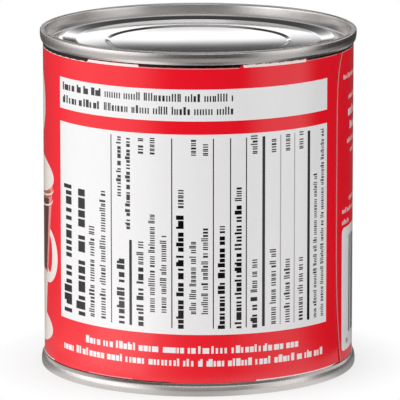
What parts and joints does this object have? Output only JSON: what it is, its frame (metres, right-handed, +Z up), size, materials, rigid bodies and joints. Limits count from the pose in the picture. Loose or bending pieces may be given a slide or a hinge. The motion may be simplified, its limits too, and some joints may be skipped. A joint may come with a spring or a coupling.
{
  "type": "condensed milk can",
  "caption": "Shut round metal food can with stepped pressed ends, double seams at both rims and a paper label wrapped round the body and lapped on itself.",
  "frame": {"origin": "centre of the foot rim, on the surface that the can stands on", "axes": "+Z up along the can's axis, -Y towards the front, with the label's visible cut edge on the +X side of the front"},
  "size_m": [0.076, 0.076, 0.082],
  "materials": {
    "tinplate": "satin tinplate",
    "tinplate_end": "bright tinplate with a fine grain",
    "label_paper": "coated paper, red with white panels"
  },
  "bodies": {
    "root": {"body_and_contents": "tinplate", "top_end": "tinplate_end", "foot_end": "tinplate_end", "paper_label": "label_paper"}
  },
  "joints": []
}
